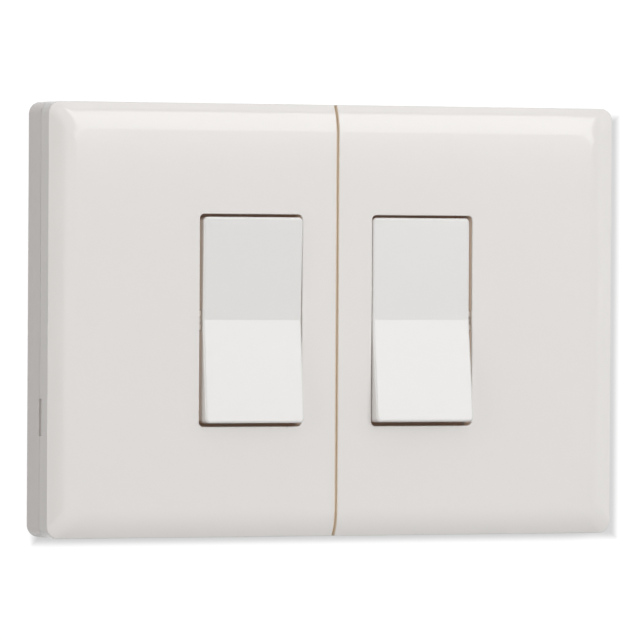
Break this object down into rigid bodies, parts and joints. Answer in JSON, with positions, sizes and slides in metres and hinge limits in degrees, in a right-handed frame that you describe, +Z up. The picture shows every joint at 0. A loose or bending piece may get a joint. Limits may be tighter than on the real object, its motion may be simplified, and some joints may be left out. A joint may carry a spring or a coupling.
{
  "type": "smart rocker light switch",
  "caption": "Surface-mounted white wall switch with bevelled clip-on covers that meet at a seam, each with a V-faced rocker over a battery wireless module.",
  "frame": {"origin": "middle of the wall-screw pattern on the back plane, where the tray meets the wall", "axes": "+X to the right seen from the front, +Y into the wall, +Z up"},
  "size_m": [0.162, 0.0204, 0.1142],
  "materials": {
    "white_plastic": "smooth gloss",
    "rocker_plastic": "satin",
    "tray_plastic": "satin",
    "frame_plastic": "matte",
    "board_laminate": "solder mask",
    "switch_plastic": "matte",
    "plunger_plastic": "matte",
    "cell_steel": "nickel plated",
    "contact_steel": "spring steel",
    "shield_tin": "tin plated",
    "antenna_brass": "stamped",
    "screw_steel": "zinc plated"
  },
  "bodies": {
    "housing": {"base_tray": "tray_plastic", "left_cover": "white_plastic", "left_switch_frame": "frame_plastic", "left_circuit_board": "board_laminate", "left_upper_push_switch": "switch_plastic", "left_lower_push_switch": "switch_plastic", "left_battery_holder": "switch_plastic", "left_coin_cell": "cell_steel", "left_battery_clip": "contact_steel", "left_battery_contact": "contact_steel", "left_radio_board": "board_laminate", "left_radio_shield": "shield_tin", "left_antenna": "antenna_brass", "left_frame_screws": "screw_steel", "right_cover": "white_plastic", "right_switch_frame": "frame_plastic", "right_circuit_board": "board_laminate", "right_upper_push_switch": "switch_plastic", "right_lower_push_switch": "switch_plastic", "right_battery_holder": "switch_plastic", "right_coin_cell": "cell_steel", "right_battery_clip": "contact_steel", "right_battery_contact": "contact_steel", "right_radio_board": "board_laminate", "right_radio_shield": "shield_tin", "right_antenna": "antenna_brass", "right_frame_screws": "screw_steel"},
    "left_rocker_body": {"left_rocker": "rocker_plastic"},
    "left_upper_plunger_body": {"left_upper_plunger": "plunger_plastic"},
    "left_lower_plunger_body": {"left_lower_plunger": "plunger_plastic"},
    "right_rocker_body": {"right_rocker": "rocker_plastic"},
    "right_upper_plunger_body": {"right_upper_plunger": "plunger_plastic"},
    "right_lower_plunger_body": {"right_lower_plunger": "plunger_plastic"}
  },
  "joints": [
    {"name": "left_rock", "type": "hinge", "parent": "housing", "child": "left_rocker_body", "pos_m": [-0.02428, -0.0142, 0], "axis": [1, 0, 0], "range_deg": [-1.8, 5.4]},
    {"name": "left_upper_plunge", "type": "slide", "parent": "housing", "child": "left_upper_plunger_body", "axis": [0, 1, 0], "range_m": [-0.00151, 0.00051]},
    {"name": "left_lower_plunge", "type": "slide", "parent": "housing", "child": "left_lower_plunger_body", "axis": [0, 1, 0], "range_m": [-0.00051, 0.00151]},
    {"name": "right_rock", "type": "hinge", "parent": "housing", "child": "right_rocker_body", "pos_m": [0.02428, -0.0142, 0], "axis": [1, 0, 0], "range_deg": [0, 7.2]},
    {"name": "right_upper_plunge", "type": "slide", "parent": "housing", "child": "right_upper_plunger_body", "axis": [0, 1, 0], "range_m": [-0.00201, 0.00001]},
    {"name": "right_lower_plunge", "type": "slide", "parent": "housing", "child": "right_lower_plunger_body", "axis": [0, 1, 0], "range_m": [-0.00001, 0.00201]}
  ],
  "couplings": [
    {"joint": "left_upper_plunge", "follows": "left_rock", "m_per_rad": -0.015926},
    {"joint": "left_lower_plunge", "follows": "left_rock", "m_per_rad": 0.015926},
    {"joint": "right_upper_plunge", "follows": "right_rock", "m_per_rad": -0.015926},
    {"joint": "right_lower_plunge", "follows": "right_rock", "m_per_rad": 0.015926}
  ]
}
